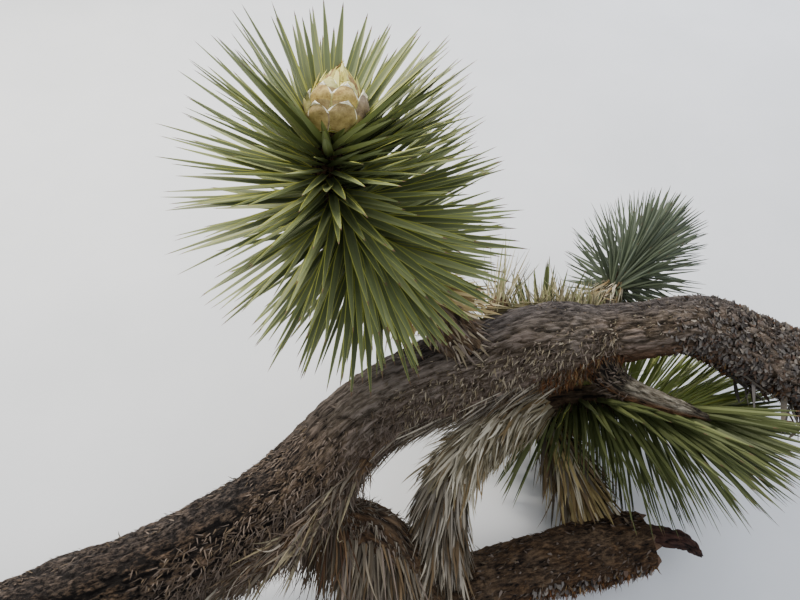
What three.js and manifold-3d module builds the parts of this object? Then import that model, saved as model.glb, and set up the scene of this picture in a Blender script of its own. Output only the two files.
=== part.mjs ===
// A limb cut from a joshua tree, lying on the ground, with its dagger-leaved heads and one bloom bud.
//
// The limb is laid out in its growing frame, in millimetres: x runs along the limb from the butt to its
// far cut, y is up as it grew, and z comes out of the side that carries the bloom. The last section turns
// that frame over onto the ground, so that the finished part has +Z up and lies on z = 0.
import * as THREE from "three";
import Module from "manifold-3d";

const wasm = await Module();
wasm.setup();
const { Manifold } = wasm;

// Routes of the limbs: [x, y, z, radius] along the middle line. A shoot's last stretch carries its head.
const MAIN_ROUTE = [
  [-883, -673, 100, 96],
  [-620, -585, 85, 94],
  [-360, -473, 65, 92],
  [-200, -366, 45, 87],
  [-96, -256, 30, 80],
  [10, -188, 15, 77],
  [137, -143, 0, 82],
  [230, -107, -10, 84],
  [322, -88, -20, 82],
  [415, -73, -30, 60],
  [522, -61, -40, 58],
  [631, -55, -50, 62],
  [731, -97, -50, 67],
  [838, -147, -45, 71],
  [925, -204, -37, 72],
];
const FORK_ROUTE = [
  [-186, -372, 30, 54],
  [-120, -442, 35, 56],
  [-56, -468, 32, 58],
  [10, -538, 10, 62],
  [92, -590, 0, 63],
  [165, -582, -15, 61],
  [250, -562, -35, 62],
  [337, -548, -55, 65],
  [427, -536, -75, 68],
  [524, -517, -88, 60],
];
const STUB_ROUTE = [
  [500, -503, -92, 24],
  [609, -520, -95, 18],
  [652, -552, -100, 6],
];
const RISER_ROUTE = [
  [83, -560, 16, 40],
  [83, -495, 15, 41],
  [87, -417, 5, 39],
  [107, -354, -15, 38],
  [150, -303, -40, 37],
  [213, -258, -74, 35],
  [294, -229, -108, 32],
  [439, -217, -124, 30],
  [546, -226, -116, 26],
  [650, -248, -95, 17],
];
const REAR_ROUTE = [
  [445, -530, -112, 34],
  [399, -421, -140, 32],
  [358, -324, -158, 30],
  [337, -270, -170, 28],
  [325, -190, -214, 26],
  [326, -118, -262, 16],
];
const BLOOM_ROUTE = [
  [124, -80, 60, 44],
  [56, -9, 140, 35],
  [-30, 70, 222, 31],
  [-88, 143, 303, 27],
  [-114, 196, 352, 25],
  [-103, 262, 398, 20],
];
const FAR_ROUTE = [
  [408, -62, -78, 32],
  [441, -24, -130, 28],
  [476, 14, -186, 24],
  [545, 82, -246, 21],
  [606, 142, -296, 12],
];
const BRANCHLET_ROUTE = [
  [400, -100, -22, 44],
  [432, -162, -6, 33],
  [489, -190, 2, 22],
  [552, -213, 8, 17],
  [620, -237, 15, 8],
];
const TUFT_ROUTE = [
  [190, -60, -30, 26],
  [214, -6, -62, 22],
  [240, 30, -84, 12],
];
const BEARD_ROUTE = [
  [-330, -535, 118, 20],
  [-236, -478, 112, 24],
  [-157, -410, 102, 24],
  [-66, -306, 84, 16],
];

const GAP = 0.35; // clear space between a limb and what it carries
const HEAD_TURN = 12; // degrees that a living leaf strays from its rule
const HEAD_THICK = 0.3; // a living leaf's thickness, as a share of its width
const HEAD_SUNK = 0.75; // how far a living leaf's root lies in its shoot, as a share of the shoot's radius
const DEAD_WIDE = 20;
const DEAD_THICK = 6;
const DEAD_SUNK = 0.25;
const ROOTS_FROM_ENDS = [4, 2]; // leaves keep this far from the start and the end of their stretch

const BUD_TALL = 112;
const BUD_WIDE = 92;
const BUD_SUNK = 14; // how far the bud's foot sits below the shoot's tip, where it is cut off flat
const BUD_AXIS = new THREE.Vector3(0.12, 0.97, -0.2).normalize();
const BUD_EGG = [[0, 0], [0.38, 0], [0.8, 0.18], [1, 0.43], [0.86, 0.68], [0.46, 0.88], [0, 1]];
const BRACTS = 15;
const BRACT_THICK = 7;
// From the lowest bract to the topmost one.
const BRACT_WIDE = [24, 13];
const BRACT_TALL = [34, 26];
const BRACT_LEAN = [-0.1, 0.5]; // radians towards the bud's tip
const BRACT_HEIGHT = [0.22, 0.75]; // share of the bud's height
const BRACT_REACH = [0.76, 0.56]; // share of the bud's radius

// How the limb is turned over to lie on the ground: back about x, then a little about the y of the ground.
const LIE_BACK_DEG = 37.5;
const LIE_ASIDE_DEG = -3.2;
const LYING = new THREE.Euler(
  THREE.MathUtils.degToRad(LIE_BACK_DEG),
  THREE.MathUtils.degToRad(LIE_ASIDE_DEG),
  0,
  "YXZ",
);

const GOLDEN_ANGLE = Math.PI * (3 - Math.sqrt(5));
const DOWN = new THREE.Vector3(0, -1, 0);
const FRONT = new THREE.Vector3(0, 0, 1);
const LEAF_WIDEST = 0.3; // share of a leaf's length at which it is widest
const LEAF_FOOT = [0.68, 1.88]; // a head's leaf lengths near its foot, as shares of the full length
const LEAF_TOP = [2, 0.8]; // and near its tip, where the young leaves are shorter
const LEAF_CLEAR = 1.2; // least space between a leaf and its neighbours
const SAMPLES_A_SPAN = 16; // samples of a route between two of its points

const BARK = { color: 0x5a4a3c, roughness: 0.95 };
const WEATHERED = { color: 0x9a8c7a, roughness: 0.9 };
const GREEN = { color: 0x66763a, roughness: 0.6 };
const STRAW = { color: 0xa1937a, roughness: 0.9 };
const CREAM = { color: 0xc9b98a, roughness: 0.7 };

const solids = {};
const finishes = {};

// The same numbers each run, from 0 to 1.
function numbersFrom(seed) {
  let state = seed >>> 0;
  return () => {
    state = (state + 0x6d2b79f5) >>> 0;
    let t = Math.imul(state ^ (state >>> 15), 1 | state);
    t = (t + Math.imul(t ^ (t >>> 7), 61 | t)) ^ t;
    return ((t ^ (t >>> 14)) >>> 0) / 4294967296;
  };
}

function lerp(a, b, t) {
  return a + (b - a) * t;
}

// The direction at an angle round a frame's line, 0 being its normal.
function outward(frame, turn) {
  const across = new THREE.Vector3().crossVectors(frame.along, frame.out);
  return frame.out.clone().multiplyScalar(Math.cos(turn)).addScaledVector(across, Math.sin(turn));
}

// A route's middle line, measured in millimetres along it, with frames that turn as little as they can.
function follow(route) {
  const points = route.map(([x, y, z]) => new THREE.Vector3(x, y, z));
  const curve = new THREE.CatmullRomCurve3(points, false, "centripetal");
  const last = (route.length - 1) * SAMPLES_A_SPAN;
  const samples = [];
  for (let i = 0; i <= last; i++) {
    const point = curve.getPoint(i / last);
    const along = curve.getTangent(i / last);
    const before = samples[i - 1] ?? { point, distance: 0, out: FRONT };
    const out = before.out.clone().addScaledVector(along, -before.out.dot(along)).normalize();
    const distance = before.distance + point.distanceTo(before.point);
    const span = Math.min(Math.floor(i / SAMPLES_A_SPAN), route.length - 2);
    const radius = lerp(route[span][3], route[span + 1][3], i / SAMPLES_A_SPAN - span);
    samples.push({ point, along, out, distance, radius });
  }
  const at = (distance) => {
    const found = samples.findIndex((s) => s.distance > distance);
    const after = found < 0 ? last : Math.max(found, 1);
    const [a, b] = [samples[after - 1], samples[after]];
    const t = Math.min(Math.max((distance - a.distance) / (b.distance - a.distance), 0), 1);
    const along = a.along.clone().lerp(b.along, t).normalize();
    const out = a.out.clone().lerp(b.out, t);
    const past = distance - lerp(a.distance, b.distance, t);
    return {
      point: a.point.clone().lerp(b.point, t).addScaledVector(along, past),
      along,
      out: out.addScaledVector(along, -out.dot(along)).normalize(),
      radius: lerp(a.radius, b.radius, t),
    };
  };
  const mark = (point) => samples[(point < 0 ? route.length + point : point) * SAMPLES_A_SPAN].distance;
  return { at, mark };
}

// How far bark swells from its mean radius, by millimetres along the limb and turn round it.
function swelling(distance, turn) {
  return (
    0.03 * Math.sin(2 * turn + distance / 61) +
    0.025 * Math.sin(3 * turn - distance / 43) +
    0.015 * Math.sin(5 * turn + distance / 27)
  );
}

function solidOf(corners, faces) {
  return new Manifold(
    new wasm.Mesh({
      numProp: 3,
      vertProperties: new Float32Array(corners.flatMap((p) => [p.x, p.y, p.z])),
      triVerts: new Uint32Array(faces.flat()),
    }),
  );
}

// A limb's solid between two points of its route, cut flat at both ends. grow makes it thicker all round.
function limb(route, { from = 0, to = -1, step = 50, sides = 14, grow = 0 } = {}) {
  const line = follow(route);
  const start = line.mark(from) + (from === 0 ? 0 : GAP) - grow;
  const end = line.mark(to) + grow;
  const rings = Math.max(2, Math.ceil((end - start) / step)) + 1;
  const corners = [];
  const faces = [];
  for (let i = 0; i < rings; i++) {
    const distance = lerp(start, end, i / (rings - 1));
    const frame = line.at(distance);
    for (let j = 0; j < sides; j++) {
      const turn = (2 * Math.PI * j) / sides;
      const radius = frame.radius * (1 + swelling(distance, turn)) + grow;
      corners.push(frame.point.clone().addScaledVector(outward(frame, turn), radius));
    }
  }
  const top = (rings - 1) * sides;
  for (let j = 0; j < sides; j++) {
    const next = (j + 1) % sides;
    for (let k = 0; k < top; k += sides) {
      faces.push([k + j, k + next, k + next + sides], [k + j, k + next + sides, k + j + sides]);
    }
    if (j > 0 && next > 0) faces.push([0, next, j], [top, top + j, top + next]);
  }
  return solidOf(corners, faces);
}

// A limb cut back until it is clear of the stretches that it meets, each [route, options].
function cutFrom(solid, ...stretches) {
  const rooms = stretches.map(([route, options]) => limb(route, { ...options, grow: GAP }));
  return rooms.reduce((left, room) => left.subtract(room), solid);
}

// One leaf of eight faces: a thin diamond blade from its root to its spine tip.
function blade({ root, direction, across, length, width, thick }) {
  const middle = root.clone().addScaledVector(direction, length * LEAF_WIDEST);
  const upper = new THREE.Vector3().crossVectors(direction, across).normalize();
  const ring = [
    middle.clone().addScaledVector(across, width / 2),
    middle.clone().addScaledVector(upper, thick / 2),
    middle.clone().addScaledVector(across, -width / 2),
    middle.clone().addScaledVector(upper, -thick / 2),
  ];
  const tip = root.clone().addScaledVector(direction, length);
  const faces = [];
  for (let i = 0; i < 4; i++) {
    const next = (i + 1) % 4;
    faces.push([i, next, 5], [next, i, 4]);
  }
  return solidOf([...ring, root, tip], faces);
}

// How high a point of the growing frame is once the limb lies down.
function heightOf(point) {
  return point.clone().applyEuler(LYING).z;
}

function lowestPoint() {
  const heights = Object.values(solids).map((solid) => {
    const corners = solid.getMesh().vertProperties;
    let lowest = Infinity;
    for (let i = 0; i < corners.length; i += 3) {
      lowest = Math.min(lowest, heightOf(new THREE.Vector3().fromArray(corners, i)));
    }
    return lowest;
  });
  return Math.min(...heights);
}

function boxesMeet(a, b) {
  return [0, 1, 2].every((k) => a.min[k] <= b.max[k] && b.min[k] <= a.max[k]);
}

// True if a leaf keeps above the ground and, made a little larger all round, touches only its own node.
function isClear(leaf, own, ground) {
  if (heightOf(leaf.root.clone().addScaledVector(leaf.direction, leaf.length)) < ground) return false;
  const larger = blade({
    ...leaf,
    length: leaf.length + 2 * LEAF_CLEAR,
    width: leaf.width + 2 * LEAF_CLEAR,
    thick: leaf.thick + 2 * LEAF_CLEAR,
  });
  const box = larger.boundingBox();
  return Object.entries(solids).every(
    ([name, other]) =>
      name === own || !boxesMeet(box, other.boundingBox()) || other.intersect(larger).isEmpty(),
  );
}

// Fuses leaves to a node's core, their roots inside it. aim gives a leaf's line from its place and turn.
function grow(name, route, { from, to, count, seed, width, thick, sunk, aim, ground = -Infinity }) {
  const draw = numbersFrom(seed);
  const line = follow(route);
  const first = line.mark(from) + ROOTS_FROM_ENDS[0];
  const last = line.mark(to) - ROOTS_FROM_ENDS[1];
  const fused = [solids[name]];
  for (let i = 0; i < count; i++) {
    const share = (i + draw()) / count;
    const frame = line.at(lerp(first, last, share));
    const out = outward(frame, i * GOLDEN_ANGLE + 0.3 * (draw() - 0.5));
    const { direction, length } = aim(frame, out, share, draw);
    const across = new THREE.Vector3().crossVectors(direction, frame.along);
    if (across.length() < 0.1) across.crossVectors(outward(frame, 0), direction);
    const leaf = {
      root: frame.point.clone().addScaledVector(out, (1 - sunk) * frame.radius),
      direction,
      across: across.normalize(),
      length: length + sunk * frame.radius,
      width,
      thick,
    };
    if (isClear(leaf, name, ground)) fused.push(blade(leaf));
  }
  const [whole] = Manifold.union(fused)
    .decompose()
    .sort((a, b) => b.volume() - a.volume());
  solids[name] = whole;
}

// A head of living leaves: swept back at its foot, square in the middle and upright at its tip.
function growHead(name, route, { from, to = -1, count, seed, length, width, foot, tip, ground, spread = 0 }) {
  const aim = (frame, out, share, draw) => {
    const forward = Math.max(0, out.dot(FRONT)) * share ** 3 * spread;
    const degrees = lerp(foot, tip, share ** 1.15) + forward + HEAD_TURN * (draw() - 0.5);
    const angle = THREE.MathUtils.degToRad(degrees);
    const direction = frame.along.clone().multiplyScalar(Math.cos(angle));
    direction.addScaledVector(out, Math.sin(angle)).normalize();
    const full = Math.min(1, lerp(...LEAF_FOOT, share), lerp(...LEAF_TOP, share));
    return { direction, length: length * full * (0.9 + 0.2 * draw()) };
  };
  const thick = HEAD_THICK * width;
  grow(name, route, { from, to, count, seed, width, thick, sunk: HEAD_SUNK, aim, ground });
}

// Dead leaves that lie back along a bough and hang: back, out and down say how much of each.
function growSkirt(name, route, { from, to, count, seed, length, back, out, down }) {
  const aim = (frame, outwards, share, draw) => {
    const direction = frame.along.clone().multiplyScalar(-back);
    direction.addScaledVector(outwards, out * (0.7 + 0.6 * draw())).addScaledVector(DOWN, down);
    return { direction: direction.normalize(), length: length * (0.75 + 0.5 * draw()) };
  };
  const dead = { width: DEAD_WIDE, thick: DEAD_THICK, sunk: DEAD_SUNK };
  grow(name, route, { ...dead, from, to, count, seed, aim });
}

// A three.js geometry's closed surface as a solid.
function fromGeometry(geometry) {
  const corners = [];
  const numbers = new Map();
  const place = geometry.getAttribute("position");
  const merged = [...Array(place.count).keys()].map((i) => {
    const corner = new THREE.Vector3().fromBufferAttribute(place, i);
    const key = corner.toArray().map((v) => Math.round(v * 1000)).join();
    if (!numbers.has(key)) numbers.set(key, corners.push(corner) - 1);
    return numbers.get(key);
  });
  const index = [...geometry.index.array].map((i) => merged[i]);
  const faces = [];
  for (let i = 0; i < index.length; i += 3) {
    const face = index.slice(i, i + 3);
    if (new Set(face).size === 3) faces.push(face);
  }
  return solidOf(corners, faces);
}

// The egg of overlapping bracts at the tip of the blooming head.
function bloomBud() {
  const half = BUD_WIDE / 2;
  const profile = BUD_EGG.map(([r, h]) => new THREE.Vector2(r * half, h * BUD_TALL));
  const fused = [fromGeometry(new THREE.LatheGeometry(profile, 12))];
  for (let i = 0; i < BRACTS; i++) {
    const share = i / (BRACTS - 1);
    const bract = new THREE.SphereGeometry(1, 7, 5);
    bract.scale(lerp(...BRACT_WIDE, share), lerp(...BRACT_TALL, share), BRACT_THICK);
    bract.rotateX(-lerp(...BRACT_LEAN, share));
    bract.translate(0, lerp(...BRACT_HEIGHT, share) * BUD_TALL, lerp(...BRACT_REACH, share) * half);
    bract.rotateY(i * GOLDEN_ANGLE);
    fused.push(fromGeometry(bract));
  }
  const line = follow(BLOOM_ROUTE);
  const { point, along } = line.at(line.mark(-1));
  const seat = point.addScaledVector(along, GAP);
  const upright = new THREE.Quaternion().setFromUnitVectors(new THREE.Vector3(0, 1, 0), BUD_AXIS);
  const placed = new THREE.Matrix4().makeRotationFromQuaternion(upright);
  placed.setPosition(seat.clone().addScaledVector(BUD_AXIS, -BUD_SUNK));
  return Manifold.union(fused).transform(placed.elements).trimByPlane(along.toArray(), along.dot(seat));
}

function add(name, finish, solid) {
  solids[name] = solid;
  finishes[name] = finish;
}

function makeLimbs() {
  const thin = { sides: 10, step: 45 };
  const hidden = { sides: 8, step: 75 };
  const near = [MAIN_ROUTE, { to: 8 }];
  const beyond = [MAIN_ROUTE, { from: 8 }];
  const fork = [FORK_ROUTE, { to: 1, sides: 10 }];
  const hump = [FORK_ROUTE, { from: 1, to: 3, sides: 10 }];
  const lower = [FORK_ROUTE, { from: 3 }];
  add("main_limb", BARK, limb(...near));
  add("far_limb", BARK, limb(...beyond));
  add("lower_limb", BARK, limb(...lower));
  add("broken_stub", BARK, cutFrom(limb(STUB_ROUTE, { sides: 8, step: 40 }), lower));
  add("dead_branchlet", WEATHERED, cutFrom(limb(BRANCHLET_ROUTE, { sides: 9, step: 35 }), near, beyond));
  add("bloom_bough", STRAW, cutFrom(limb(BLOOM_ROUTE, { ...thin, to: 2 }), near));
  add("far_bough", BARK, cutFrom(limb(FAR_ROUTE, { ...thin, to: 2 }), near, beyond));
  add("fork", STRAW, cutFrom(limb(...fork), near));
  add("fork_hump", STRAW, limb(...hump));
  add("riser", STRAW, cutFrom(limb(RISER_ROUTE, { ...hidden, to: 3 }), hump, lower));
  add("arm", STRAW, limb(RISER_ROUTE, { ...hidden, from: 3, to: 6 }));
  add("rear_bough", STRAW, cutFrom(limb(REAR_ROUTE, { ...hidden, to: 3 }), lower));
  add("straw_tuft", STRAW, cutFrom(limb(TUFT_ROUTE, { sides: 7, step: 40 }), near));
  add("beard", STRAW, cutFrom(limb(BEARD_ROUTE, { sides: 8, step: 60 }), near, fork));
}

function makeStems() {
  const stem = { sides: 7, step: 60 };
  add("bloom_bud", CREAM, bloomBud());
  add("head_bloom", GREEN, limb(BLOOM_ROUTE, { ...stem, from: 2 }));
  add("head_arm", GREEN, limb(RISER_ROUTE, { ...stem, from: 6 }));
  add("head_rear", GREEN, limb(REAR_ROUTE, { ...stem, from: 3 }));
  add("head_far", GREEN, limb(FAR_ROUTE, { ...stem, from: 2 }));
}

function growHeads(ground) {
  const bloom = { to: 4.75, length: 240, width: 24, foot: 128, tip: 36, spread: 20 };
  growHead("head_bloom", BLOOM_ROUTE, { ...bloom, from: 2, count: 190, seed: 11, ground });
  const arm = { length: 275, width: 22, foot: 126, tip: 18 };
  growHead("head_arm", RISER_ROUTE, { ...arm, from: 6, count: 130, seed: 23, ground });
  const rear = { length: 215, width: 20, foot: 112, tip: 25 };
  growHead("head_rear", REAR_ROUTE, { ...rear, from: 3, count: 60, seed: 37, ground });
  const far = { length: 155, width: 16, foot: 112, tip: 12 };
  growHead("head_far", FAR_ROUTE, { ...far, from: 2, count: 90, seed: 41, ground });
}

// Dead leaves hide these boughs from end to end, and hang from the main limb's underside.
function growSkirts() {
  const hanging = { length: 150, back: 0.1, out: 0.4, down: 1 };
  growSkirt("fork_hump", FORK_ROUTE, { ...hanging, from: 1, to: 3, count: 44, seed: 5 });
  growSkirt("fork", FORK_ROUTE, { ...hanging, from: 0, to: 1, count: 16, seed: 3 });
  const lying = { length: 150, back: 0.9, out: 0.3, down: 0.15 };
  growSkirt("riser", RISER_ROUTE, { ...lying, from: 1, to: 3, count: 56, seed: 7 });
  growSkirt("rear_bough", REAR_ROUTE, { ...lying, length: 125, from: 1, to: 3, count: 36, seed: 13 });
  const arching = { length: 150, back: 0.9, out: 0.35, down: 0.4 };
  growSkirt("arm", RISER_ROUTE, { ...arching, from: 3, to: 6, count: 44, seed: 9 });
  const standing = { length: 110, back: -0.6, out: 0.8, down: -0.3 };
  growSkirt("straw_tuft", TUFT_ROUTE, { ...standing, from: 1, to: 2, count: 24, seed: 15 });
  const trailing = { length: 140, back: 0.8, out: 0.3, down: 0.5 };
  growSkirt("beard", BEARD_ROUTE, { ...trailing, from: 0, to: 3, count: 36, seed: 19 });
  const collar = { length: 110, back: 0.6, out: 0.5, down: -0.1 };
  growSkirt("bloom_bough", BLOOM_ROUTE, { ...collar, from: 1, to: 2, count: 26, seed: 21 });
}

function meshOf(name) {
  const { vertProperties, triVerts } = solids[name].getMesh();
  const geometry = new THREE.BufferGeometry();
  geometry.setAttribute("position", new THREE.BufferAttribute(vertProperties, 3));
  geometry.setIndex(new THREE.BufferAttribute(triVerts, 1));
  const mesh = new THREE.Mesh(geometry, new THREE.MeshStandardMaterial({ metalness: 0, ...finishes[name] }));
  mesh.name = name;
  return mesh;
}

// Lays the limb down and brings the middle of its footprint to the origin.
function layDown() {
  const lying = new THREE.Group();
  lying.rotation.copy(LYING);
  lying.add(...Object.keys(solids).map(meshOf));
  const box = new THREE.Box3().setFromObject(lying, true);
  const middle = box.getCenter(new THREE.Vector3());
  lying.position.set(-middle.x, -middle.y, -box.min.z);
  const part = new THREE.Group();
  part.add(lying);
  return part;
}

makeLimbs();
makeStems();
growSkirts();
growHeads(lowestPoint());

export default layDown();
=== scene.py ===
import itertools
import math

import bpy
import numpy as np
from mathutils import Matrix, Vector


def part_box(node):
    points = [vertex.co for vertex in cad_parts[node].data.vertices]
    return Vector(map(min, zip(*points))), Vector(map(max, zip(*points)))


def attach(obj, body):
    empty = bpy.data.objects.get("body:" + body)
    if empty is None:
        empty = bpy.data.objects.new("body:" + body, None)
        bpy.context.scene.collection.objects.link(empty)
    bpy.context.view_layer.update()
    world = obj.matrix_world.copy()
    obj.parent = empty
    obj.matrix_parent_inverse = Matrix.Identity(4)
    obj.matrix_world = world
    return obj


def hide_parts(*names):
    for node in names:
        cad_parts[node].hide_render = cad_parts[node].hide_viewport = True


# A limb cut from a joshua tree, lying on the ground: its bark, living heads, bloom bud and dead leaves.
#
# Shapes are worked out in the limb's growing frame, in metres: x runs along the limb from its butt, y is
# up as it grew, and z comes out of the side that carries the bloom. lay() turns them over onto the ground.

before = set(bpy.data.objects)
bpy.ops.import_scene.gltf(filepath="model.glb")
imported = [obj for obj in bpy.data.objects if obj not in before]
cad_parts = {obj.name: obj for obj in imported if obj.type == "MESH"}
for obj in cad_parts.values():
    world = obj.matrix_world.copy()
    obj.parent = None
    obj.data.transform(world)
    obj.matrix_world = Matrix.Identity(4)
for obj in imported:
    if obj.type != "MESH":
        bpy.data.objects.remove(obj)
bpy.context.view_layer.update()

# Millimetres in a metre.
METRE = 1000

# Middle lines of the limbs, the same as the solids': knots of (x, y, z, radius), in millimetres.
KNOTS = {
    "main": [(-883, -673, 100, 96), (-620, -585, 85, 94), (-360, -473, 65, 92), (-200, -366, 45, 87),
        (-96, -256, 30, 80), (10, -188, 15, 77), (137, -143, 0, 82), (230, -107, -10, 84),
        (322, -88, -20, 82), (415, -73, -30, 60), (522, -61, -40, 58), (631, -55, -50, 62),
        (731, -97, -50, 67), (838, -147, -45, 71), (925, -204, -37, 72)],
    "fork": [(-186, -372, 30, 54), (-120, -442, 35, 56), (-56, -468, 32, 58), (10, -538, 10, 62),
        (92, -590, 0, 63), (165, -582, -15, 61), (250, -562, -35, 62), (337, -548, -55, 65),
        (427, -536, -75, 68), (524, -517, -88, 60)],
    "stub": [(500, -503, -92, 24), (609, -520, -95, 18), (652, -552, -100, 6)],
    "riser": [(83, -560, 16, 40), (83, -495, 15, 41), (87, -417, 5, 39), (107, -354, -15, 38),
        (150, -303, -40, 37), (213, -258, -74, 35), (294, -229, -108, 32), (439, -217, -124, 30),
        (546, -226, -116, 26), (650, -248, -95, 17)],
    "rear": [(445, -530, -112, 34), (399, -421, -140, 32), (358, -324, -158, 30), (337, -270, -170, 28),
        (325, -190, -214, 26), (326, -118, -262, 16)],
    "bloom": [(124, -80, 60, 44), (56, -9, 140, 35), (-30, 70, 222, 31), (-88, 143, 303, 27),
        (-114, 196, 352, 25), (-103, 262, 398, 20)],
    "far": [(408, -62, -78, 32), (441, -24, -130, 28), (476, 14, -186, 24), (545, 82, -246, 21),
        (606, 142, -296, 12)],
    "branchlet": [(400, -100, -22, 44), (432, -162, -6, 33), (489, -190, 2, 22), (552, -213, 8, 17),
        (620, -237, 15, 8)],
    "tuft": [(190, -60, -30, 26), (214, -6, -62, 22), (240, 30, -84, 12)],
    "beard": [(-330, -535, 118, 20), (-236, -478, 112, 24), (-157, -410, 102, 24), (-66, -306, 84, 16)],
}

BUD_TALL = 0.112
BUD_WIDE = 0.092
BUD_SUNK = 0.014
BUD_AXIS = np.array((0.12, 0.97, -0.2)) / np.linalg.norm((0.12, 0.97, -0.2))
BUD_MIDDLE = 0.56
BUD_CLEARED = 0.84

GOLDEN_ANGLE = math.pi * (3 - math.sqrt(5))
FRONT = np.array((0.0, 0.0, 1.0))
DOWN = np.array((0.0, -1.0, 0.0))
SAMPLES_A_SPAN = 16

# How far living leaves keep from other limbs and from the ground, and dead ones from the ground.
LIMB_GAP = 0.004
GROUND_GAP = 0.003
DEAD_GROUND_GAP = 0.006

# How far leaves start and end inside the stretch of a shoot that carries them, and what grows on bark in it.
ROOTED_INSETS = (0.004, -0.002)
LITTER_SUNK = 0.004

# The solid of the main limb: the knot where it ends, and the spacing and the sides of its rings.
SOLID_LAST_KNOT = 8
SOLID_RING = 0.05
SOLID_SIDES = 14

# Odd factors that scramble the numbers of a cell of noise.
CELL_FACTORS = (73856093, 19349663, 83492791)
SEED_FACTOR = 2654435761
MIX_FACTOR = 2246822519

LIE_BACK = math.radians(37.5)
LIE_ASIDE = math.radians(-3.2)
LYING = Matrix.Rotation(LIE_ASIDE, 3, "Y") @ Matrix.Rotation(LIE_BACK, 3, "X")
LIT_PLACE = np.array((0.0, 0.0, 0.4))
FLOOR_HALF = 9.0
ON_GROUND = 0.0005

# The photograph's camera: straight in front in the growing frame, with its focal length in pixels.
CAMERA_AWAY = 1.6
FOCAL_PIXELS = 785
PHOTO_WIDTH = 800
SENSOR = 36.0


def unit(vectors):
    return vectors / np.linalg.norm(vectors, axis=-1, keepdims=True)


def dot(a, b):
    return (a * b).sum(-1, keepdims=True)


def lerp(a, b, t):
    return a + (b - a) * t


def pick(chosen, *lists):
    return (values[chosen] for values in lists)


def ease(low, high, value):
    """0 below low and 1 above high, smoothly between them."""
    t = np.clip((value - low) / (high - low), 0, 1)
    return t * t * (3 - 2 * t)


def hashed(cells, seed):
    """A number from 0 to 1 for each whole-numbered cell."""
    mixed = np.uint64(seed * SEED_FACTOR)
    for axis, factor in enumerate(CELL_FACTORS):
        mixed = mixed ^ cells[..., axis].astype(np.uint64) * np.uint64(factor)
    for shift in (15, 12, 17):
        mixed ^= mixed >> np.uint64(shift)
        mixed *= np.uint64(MIX_FACTOR)
        mixed &= np.uint64(0xFFFFFFFF)
    return (mixed >> np.uint64(8)).astype(float) / 0xFFFFFF


def noise(points, seed=0):
    """Smooth noise from 0 to 1, with cells one unit across."""
    low = np.floor(points).astype(np.int64)
    t = points - low
    t = t * t * (3 - 2 * t)
    total = 0.0
    for corner in itertools.product((0, 1), repeat=3):
        total = total + np.where(corner, t, 1 - t).prod(-1) * hashed(low + corner, seed)
    return total


class Spots:
    """Places along a limb's middle line: point, along, out and across it, and the limb's radius."""

    def __init__(self, point, along, out, radius):
        self.point, self.along, self.radius = point, along, radius
        self.out = unit(out - dot(out, along) * along)
        self.across = np.cross(along, self.out)

    def outward(self, turn):
        """The direction at an angle round the line, 0 being its normal."""
        turn = np.asarray(turn)[..., None]
        return self.out * np.cos(turn) + self.across * np.sin(turn)


class Route:
    """A limb's middle line, in metres along it, with frames that turn as little as they can."""

    def __init__(self, knots):
        self.knots = knots
        places = self.knots[:, :3]
        padded = np.vstack([2 * places[0] - places[1], places, 2 * places[-1] - places[-2]])
        spans = [self.span(padded[i : i + 4]) for i in range(len(places) - 1)]
        points = np.vstack([span[0][:-1] for span in spans] + [spans[-1][0][-1:]])
        along = unit(np.vstack([span[1][:-1] for span in spans] + [spans[-1][1][-1:]]))
        out = [FRONT]
        for line in along:
            out.append(unit(out[-1] - out[-1] @ line * line))
        steps = np.linalg.norm(np.diff(points, axis=0), axis=1)
        self.distance = np.concatenate([[0], np.cumsum(steps)])
        share = np.arange(len(points)) / SAMPLES_A_SPAN
        self.radius = np.interp(share, np.arange(len(places)), self.knots[:, 3])
        self.table = np.hstack([points, along, out[1:], self.radius[:, None]])

    @staticmethod
    def span(four):
        """Points and tangents of the smooth curve between the middle two of four points."""
        gaps = np.linalg.norm(np.diff(four, axis=0), axis=1) ** 0.5
        before, here, after = (np.diff(four, axis=0).T / gaps).T
        wide = (four[2:] - four[:-2]) / (gaps[:-1] + gaps[1:])[:, None]
        start = (before - wide[0] + here) * gaps[1]
        end = (here - wide[1] + after) * gaps[1]
        t = np.linspace(0, 1, SAMPLES_A_SPAN + 1)[:, None]
        rise = four[2] - four[1]
        points = four[1] + start * t + (3 * rise - 2 * start - end) * t**2 + (start + end - 2 * rise) * t**3
        lines = start + 2 * (3 * rise - 2 * start - end) * t + 3 * (start + end - 2 * rise) * t**2
        return points, lines

    def mark(self, knot):
        """How far along the line one of its knots is, counted from the end if negative."""
        place = knot + len(self.knots) if knot < 0 else knot
        return float(np.interp(place * SAMPLES_A_SPAN, np.arange(len(self.distance)), self.distance))

    def at(self, distance):
        distance = np.asarray(distance, float)
        taken = np.stack([np.interp(distance, self.distance, column) for column in self.table.T], -1)
        along = unit(taken[..., 3:6])
        past = distance - np.clip(distance, 0, self.distance[-1])
        point = taken[..., :3] + past[..., None] * along
        return Spots(point, along, taken[..., 6:9], taken[..., 9])


ROUTES = {key: Route(np.array(knots) / METRE) for key, knots in KNOTS.items()}


def swelling(distance, turn):
    """How far bark swells from its mean radius, as in the solids."""
    return (
        0.03 * np.sin(2 * turn + distance / 0.061)
        + 0.025 * np.sin(3 * turn - distance / 0.043)
        + 0.015 * np.sin(5 * turn + distance / 0.027)
    )


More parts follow.
